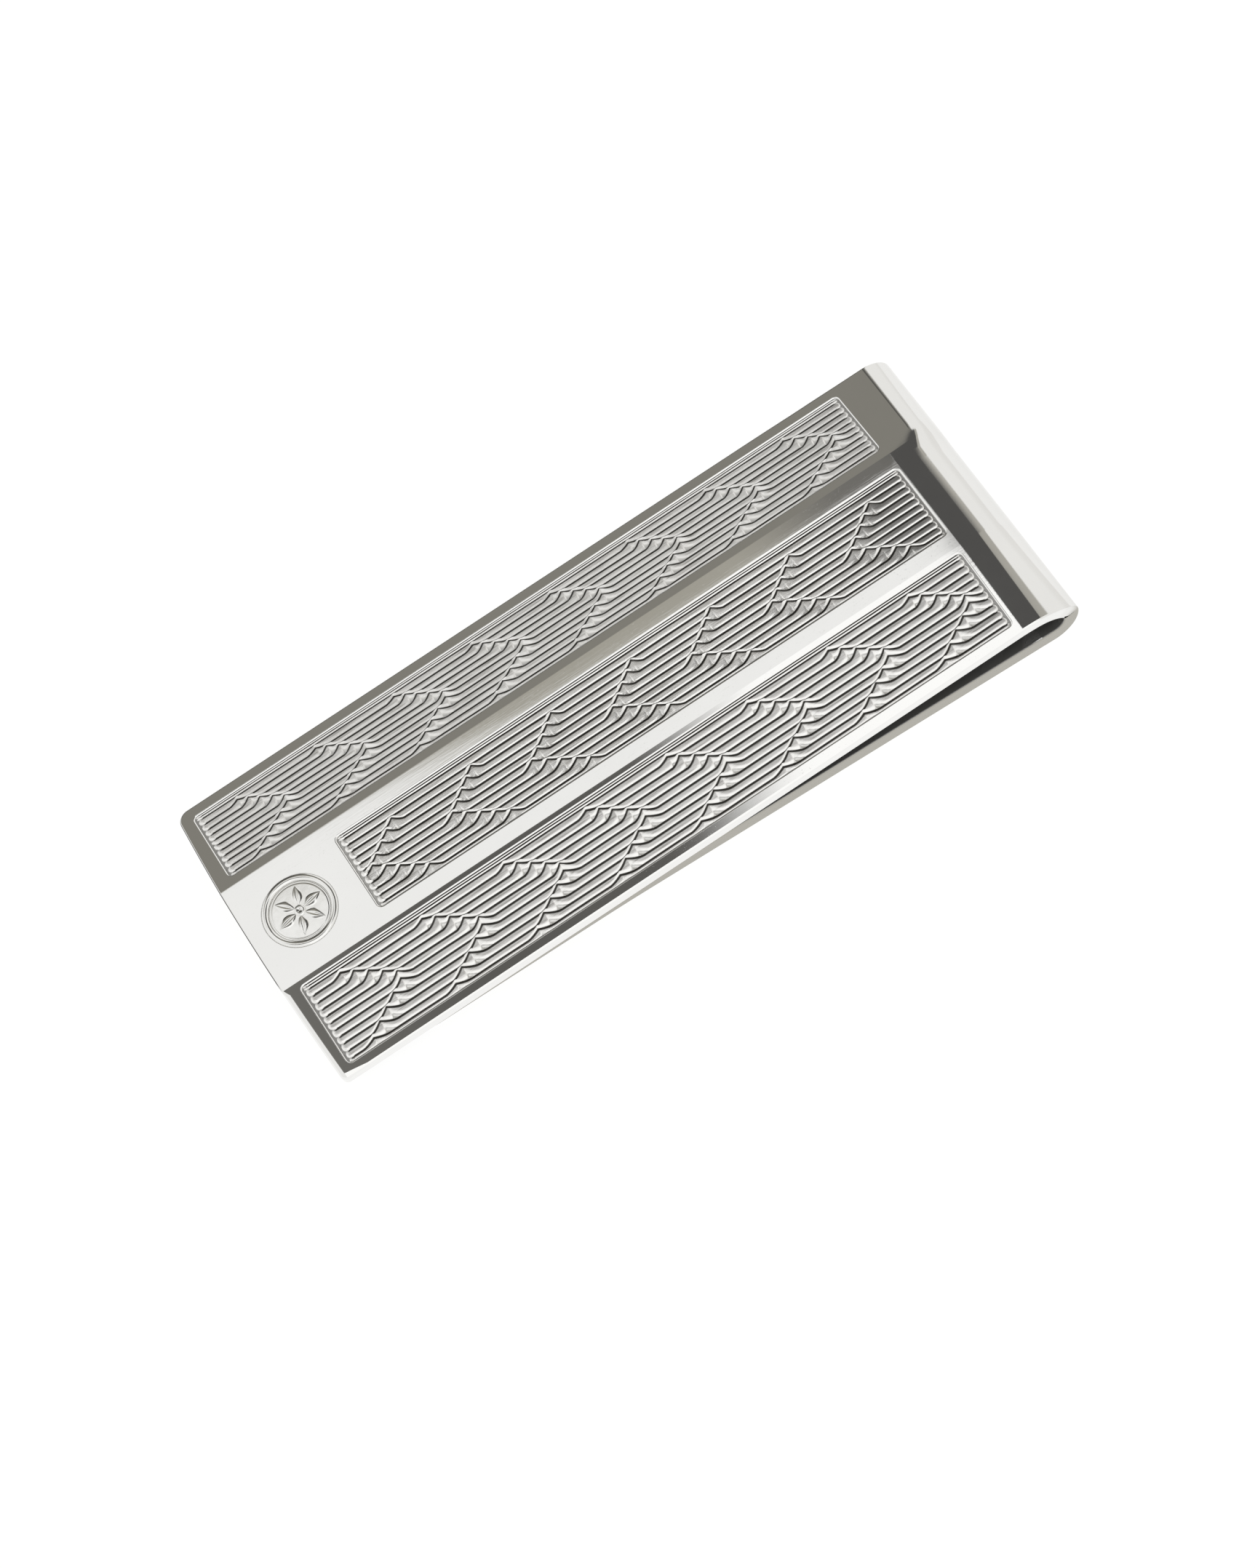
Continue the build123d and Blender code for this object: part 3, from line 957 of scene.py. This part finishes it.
def mat_polished(name="polished_plate", tint=(0.868, 0.864, 0.852), streak=0.0):
    m, nt, bs = new_mat(name)
    inner = node(nt, "ShaderNodeAttribute", attribute_name="inner").outputs["Fac"]
    wall = node(nt, "ShaderNodeAttribute", attribute_name="wall").outputs["Fac"]
    line = node(nt, "ShaderNodeAttribute", attribute_name="line").outputs["Fac"]
    met = ramp(nt, inner, [(0.0, 1.0), (1.0, 0.80)])
    nt.links.new(met.outputs["Color"], bs.inputs["Metallic"])
    # faint cloudiness of the plating
    cloud = noise(nt, coords(nt, (160, 160, 160)), 1.0, 4.0)
    base = ramp(nt, cloud, [(0.3, tuple(c * 0.975 for c in tint)), (0.7, tint)])
    # the cut edge of the leg is duller and painted darker, as shade near the floor, and so is the bend as it turns
    # down; the unpolished inside is duller too
    base_with_painted_shade = mix_by(nt, wall, base.outputs["Color"], (0.405, 0.390, 0.350))
    # painted dark reflection: the line mark colours the rounded outer edge near-black
    base_with_painted_shade = mix_by(nt, line, base_with_painted_shade, (0.105, 0.103, 0.095))
    # the inside faces are duller and a little less metallic, and painted dark grey as shade in the gap and under the
    # clip
    base_with_painted_shade = mix_by(nt, inner, base_with_painted_shade, (0.23, 0.228, 0.22))
    nt.links.new(base_with_painted_shade, bs.inputs["Base Color"])
    # wiped polish: the roughness wanders a little
    wipe = noise(nt, coords(nt, (260, 900, 400)), 1.0, 5.0, 0.6)
    ro = ramp(nt, wipe, [(0.25, 0.02 + streak * 0.10), (0.8, 0.05 + streak * 0.22)])
    rough = mix_by(nt, wall, ro.outputs["Color"], (0.22, 0.22, 0.22))
    rough = mix_by(nt, inner, rough, (0.38, 0.38, 0.38))
    nt.links.new(rough, bs.inputs["Roughness"])
    # hairline scratches and tiny pits
    hair = noise(nt, coords(nt, (350, 6500, 350)), 1.0, 3.0, 0.7)
    pit = noise(nt, coords(nt, (9000, 9000, 9000)), 1.0, 2.0)
    pr = ramp(nt, pit, [(0.24, 0.0), (0.31, 1.0)])
    n1 = add_bump(nt, hair, 0.035 + 0.10 * streak, 0.00002)
    n2 = add_bump(nt, pr.outputs["Color"], 0.05, 0.000006, n1)
    nt.links.new(n2, bs.inputs["Normal"])
    return m


def mat_engraved(name, metallic, rough):
    """engraved plating; the more it is lapped, the more it mirrors"""
    m, nt, bs = new_mat(name)
    g = node(nt, "ShaderNodeAttribute", attribute_name="groove").outputs["Fac"]
    shade = node(nt, "ShaderNodeAttribute", attribute_name="shade").outputs["Fac"]
    reflection_shade = node(nt, "ShaderNodeAttribute", attribute_name="reflection_shade").outputs["Fac"]
    bs.inputs["Metallic"].default_value = metallic
    # streaks that the tool left along the lands, light and dark
    streak = noise(nt, coords(nt, (260, 7600, 1800)), 1.0, 5.0, 0.72)
    land = ramp(nt, streak, [(0.33, (0.44, 0.425, 0.40)), (0.46, (0.84, 0.825, 0.805)), (0.60, (0.99, 0.98, 0.965))])
    cloud = noise(nt, coords(nt, (800, 2100, 800)), 1.0, 5.0, 0.65)
    dim = ramp(nt, cloud, [(0.30, 0.86), (0.70, 1.0)])
    mul = node(nt, "ShaderNodeMix", data_type="RGBA", blend_type="MULTIPLY")
    mul.inputs["Factor"].default_value = 1.0
    nt.links.new(land.outputs["Color"], mul.inputs["A"])
    nt.links.new(dim.outputs["Color"], mul.inputs["B"])
    # painted reflection: the lands are multiplied by the panel's brightness along its length, darker towards the
    # fold end
    reflection_shaded = node(nt, "ShaderNodeMix", data_type="RGBA", blend_type="MULTIPLY")
    reflection_shaded.inputs["Factor"].default_value = 1.0
    nt.links.new(mul.outputs["Result"], reflection_shaded.inputs["A"])
    nt.links.new(reflection_shade, reflection_shaded.inputs["B"])
    bright = mix_by(nt, g, reflection_shaded.outputs["Result"], (0.96, 0.95, 0.93))
    # painted shade: the near flank and bottom of each groove are coloured near-black for the shade and dark
    # reflection there, partly patina in the hollow
    patina_and_shade = ramp(nt, shade, [(0.10, 0.0), (0.62, 1.0)])
    dark = mix_by(nt, patina_and_shade.outputs["Color"], bright, (0.050, 0.047, 0.042))
    nt.links.new(dark, bs.inputs["Base Color"])
    ro = ramp(nt, g, [(0.0, rough), (0.4, rough * 0.8), (0.9, rough * 0.55)])
    nt.links.new(ro.outputs["Color"], bs.inputs["Roughness"])
    grain = noise(nt, coords(nt, (5200, 5200, 5200)), 1.0, 3.0, 0.6)
    n1 = add_bump(nt, streak, 0.55, 0.000016)
    n2 = add_bump(nt, grain, 0.30, 0.000009, n1)
    nt.links.new(n2, bs.inputs["Normal"])
    return m


def mat_emblem():
    m, nt, bs = new_mat("emblem_metal")
    bs.inputs["Metallic"].default_value = 1.0
    cloud = noise(nt, coords(nt, (700, 700, 700)), 1.0, 4.0)
    base = ramp(nt, cloud, [(0.3, (0.84, 0.835, 0.815)), (0.7, (0.875, 0.87, 0.855))])
    nt.links.new(base.outputs["Color"], bs.inputs["Base Color"])
    ro = ramp(nt, noise(nt, coords(nt, (1800, 1800, 1800)), 1.0, 4.0), [(0.3, 0.07), (0.75, 0.15)])
    nt.links.new(ro.outputs["Color"], bs.inputs["Roughness"])
    n1 = add_bump(nt, noise(nt, coords(nt, (4200, 4200, 4200)), 1.0, 3.0), 0.16, 0.000008)
    nt.links.new(n1, bs.inputs["Normal"])
    return m


plate_mat = mat_polished()
fold_mat = mat_polished("polished_fold", streak=0.22)
panel_mats = {
    "upper": mat_engraved("engraved_upper", 0.36, 0.32),
    "centre": mat_engraved("engraved_centre", 0.74, 0.28),
    "lower": mat_engraved("engraved_lower", 0.62, 0.30),
}
emblem_mat = mat_emblem()


def dress(ob, mat):
    ob.data.materials.clear()
    ob.data.materials.append(mat)


dress(front_ob, plate_mat)
dress(fold_ob, fold_mat)
dress(leg_ob, plate_mat)
for key, ob in panels.items():
    dress(ob, panel_mats[key])
for ob in (ring_ob, disc_ob, rosette_ob):
    dress(ob, emblem_mat)

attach(front_ob, "front")
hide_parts("front_plate")
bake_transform(fold_ob)
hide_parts("fold_upper", "fold_lower")
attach(leg_ob, "back")
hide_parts("back_leg")
for key, ob in panels.items():
    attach(ob, "front")
    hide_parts("panel_" + key)
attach(ring_ob, "front")
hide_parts("emblem_ring")
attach(disc_ob, "front")
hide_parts("emblem_disc")
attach(rosette_ob, "front")
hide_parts("emblem_rosette")

# ------------------------------------------------------------------ studio
scene = bpy.context.scene
me = bpy.data.meshes.new("floor")
R_ = 1.6
me.from_pydata([(-R_, -R_, 0), (R_, -R_, 0), (R_, R_, 0), (-R_, R_, 0)], [], [(0, 1, 2, 3)])
floor = bpy.data.objects.new("floor", me)
scene.collection.objects.link(floor)
floor.location.z = -0.00002
m = bpy.data.materials.new("pale_floor")
m.use_nodes = True
nt = m.node_tree
nt.nodes.clear()
o = nt.nodes.new("ShaderNodeOutputMaterial")
em = nt.nodes.new("ShaderNodeEmission")
em.inputs["Color"].default_value = (1.0, 1.0, 0.995, 1)
em.inputs["Strength"].default_value = 0.93
df = nt.nodes.new("ShaderNodeBsdfDiffuse")
df.inputs["Color"].default_value = (0.13, 0.13, 0.129, 1)
ad = nt.nodes.new("ShaderNodeAddShader")
nt.links.new(em.outputs[0], ad.inputs[0])
nt.links.new(df.outputs[0], ad.inputs[1])
nt.links.new(ad.outputs[0], o.inputs["Surface"])
floor.data.materials.append(m)
floor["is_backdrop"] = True

# the soft light of the studio: a white tent with an open dark side and grey gaps
w = bpy.data.worlds.new("studio")
scene.world = w
w.use_nodes = True
nt = w.node_tree
nt.nodes.clear()
L = nt.links


def mth(op, a, b=None, clamp=False):
    n = nt.nodes.new("ShaderNodeMath")
    n.operation = op
    n.use_clamp = clamp
    for i, v in enumerate((a, b)):
        if v is None:
            continue
        if isinstance(v, (int, float)):
            n.inputs[i].default_value = v
        else:
            L.new(v, n.inputs[i])
    return n.outputs[0]


def smooth(v, lo, hi):
    """0 below lo, 1 above hi"""
    n = nt.nodes.new("ShaderNodeMapRange")
    n.interpolation_type = "SMOOTHSTEP"
    n.inputs["From Min"].default_value = lo
    n.inputs["From Max"].default_value = hi
    L.new(v, n.inputs["Value"])
    return n.outputs["Result"]


def mixc(fac, a, b):
    n = nt.nodes.new("ShaderNodeMix")
    n.data_type = "RGBA"
    L.new(fac, n.inputs["Factor"])
    for key, v in (("A", a), ("B", b)):
        if isinstance(v, tuple):
            n.inputs[key].default_value = (*v, 1)
        else:
            L.new(v, n.inputs[key])
    return n.outputs["Result"]


tc = nt.nodes.new("ShaderNodeTexCoord")
mp = nt.nodes.new("ShaderNodeMapping")
mp.vector_type = "POINT"
mp.inputs["Rotation"].default_value = (0, -A, 0)
L.new(tc.outputs["Generated"], mp.inputs["Vector"])
sep = nt.nodes.new("ShaderNodeSeparateXYZ")
L.new(mp.outputs["Vector"], sep.inputs[0])
DEG = 180 / math.pi
al = mth("MULTIPLY", mth("ARCTAN2", sep.outputs["Y"], sep.outputs["Z"]), DEG)
be = mth("MULTIPLY", mth("ARCSINE", sep.outputs["X"]), DEG)

WHITE = (0.975, 0.975, 0.965)
BRIGHT = (1.13, 1.13, 1.12)
OLIVE = (0.242, 0.233, 0.206)
OLIVE2 = (0.400, 0.385, 0.335)
DARK = (0.118, 0.115, 0.108)
BLACK = (0.088, 0.086, 0.083)
STRIP = (0.915, 0.909, 0.889)

# lower facet: dark on the left, bright on the right
low = mixc(smooth(be, 3.4, 5.6), mixc(smooth(be, -4.0, 0.5), (0.19, 0.185, 0.172), DARK), BRIGHT)
# centre facet: white, with an olive edge that comes in with be
lim = mth("SUBTRACT", al, mth("SUBTRACT", 28.3, mth("MULTIPLY", smooth(be, -2.0, 3.4), 1.25)))
edge_col = mixc(smooth(be, -3.0, 3.0), (0.72, 0.715, 0.69), OLIVE2)
edge_col = mixc(smooth(be, 6.0, 8.2), edge_col, (0.175, 0.170, 0.158))
mid_col = mixc(smooth(lim, -0.35, 0.8), WHITE, edge_col)
col = mixc(smooth(al, 14.0, 18.0), low, mid_col)
# below: the camera side is bright
col = mixc(smooth(al, -2.0, 2.5), BRIGHT, col)
# upper facet: olive
col = mixc(smooth(al, 33.0, 41.0), col, OLIVE)
# beyond it the room is dark
beyond = mth("MULTIPLY", smooth(al, 49.0, 56.0), mth("SUBTRACT", 1.0, smooth(be, 8.0, 12.0)))
col = mixc(beyond, col, (0.075, 0.073, 0.068))
# dark band towards the fold
edge = mth("ADD", 8.75, mth("MULTIPLY", mth("SUBTRACT", 1.0, smooth(al, 8.0, 9.0)), 2.6))
band_in = smooth(mth("SUBTRACT", be, edge), -0.1, 0.6)
band_out = mth("SUBTRACT", 1.0, smooth(be, 36.0, 39.5))
band_al = mth("MULTIPLY", smooth(al, 0.0, 3.0), mth("SUBTRACT", 1.0, smooth(al, 32.0, 38.0)))
band = mth("MULTIPLY", mth("MULTIPLY", band_in, band_out), band_al)
# white tent beyond the band
col = mixc(smooth(be, 18.0, 24.0), col, STRIP)
up_line = mth("MULTIPLY", mth("MULTIPLY", smooth(be, 11.0, 13.0), mth("SUBTRACT", 1.0, smooth(be, 15.0, 18.5))),
              smooth(al, 36.0, 42.0))
col = mixc(up_line, col, (0.10, 0.098, 0.092))
band_col = mixc(smooth(be, 27.8, 30.8), BLACK, (0.44, 0.425, 0.385))
col = mixc(band, col, band_col)
# the left side of the tent
col = mixc(smooth(mth("MULTIPLY", be, -1.0), 12.0, 24.0), col, (0.93, 0.93, 0.92))
# the backdrop itself is plain and pale
col = mixc(nt.nodes.new("ShaderNodeLightPath").outputs["Is Camera Ray"], col, (0.93, 0.93, 0.925))
bg = nt.nodes.new("ShaderNodeBackground")
L.new(col, bg.inputs["Color"])
bg.inputs["Strength"].default_value = 1.0
ow = nt.nodes.new("ShaderNodeOutputWorld")
L.new(bg.outputs[0], ow.inputs["Surface"])

# ------------------------------------------------------------------ camera
rx, ry, rz = math.radians(-25.873), math.radians(-3.626), math.radians(-35.031)


def rot_x(t):
    c, s_ = math.cos(t), math.sin(t)
    return np.array([[1, 0, 0], [0, c, -s_], [0, s_, c]])


def rot_y(t):
    c, s_ = math.cos(t), math.sin(t)
    return np.array([[c, 0, s_], [0, 1, 0], [-s_, 0, c]])


def rot_z(t):
    c, s_ = math.cos(t), math.sin(t)
    return np.array([[c, -s_, 0], [s_, c, 0], [0, 0, 1]])


RC = rot_z(rz) @ rot_x(rx) @ rot_y(ry) @ np.diag([1.0, -1.0, -1.0])
TC = np.array([-24.688, 10.352, 269.863])
eye = world(-RC.T @ TC)
right, up, back = world_dir(RC[0]), world_dir(-RC[1]), world_dir(-RC[2])
cam_data = bpy.data.cameras.new("camera")
cam = bpy.data.objects.new("camera", cam_data)
scene.collection.objects.link(cam)
mw = Matrix.Identity(4)
for i in range(3):
    mw[i][0], mw[i][1], mw[i][2], mw[i][3] = right[i], up[i], back[i], eye[i]
cam.matrix_world = mw
cam_data.sensor_fit = "AUTO"
cam_data.sensor_width = 36.0
cam_data.lens = 36.0 * 5621.5 / 2156.0
cam_data.clip_start = 0.01
cam_data.clip_end = 10.0
scene.camera = cam
scene.view_settings.view_transform = "Standard"
scene.view_settings.look = "None"

size_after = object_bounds()


def plain(v):
    if isinstance(v, dict):
        return {k: plain(q) for k, q in v.items()}
    if hasattr(v, "__len__") and not isinstance(v, str):
        return [plain(v[i]) for i in range(len(v))]
    return float(v) if isinstance(v, (int, float, np.floating)) else v


{"before": plain(size_before), "after": plain(size_after)}
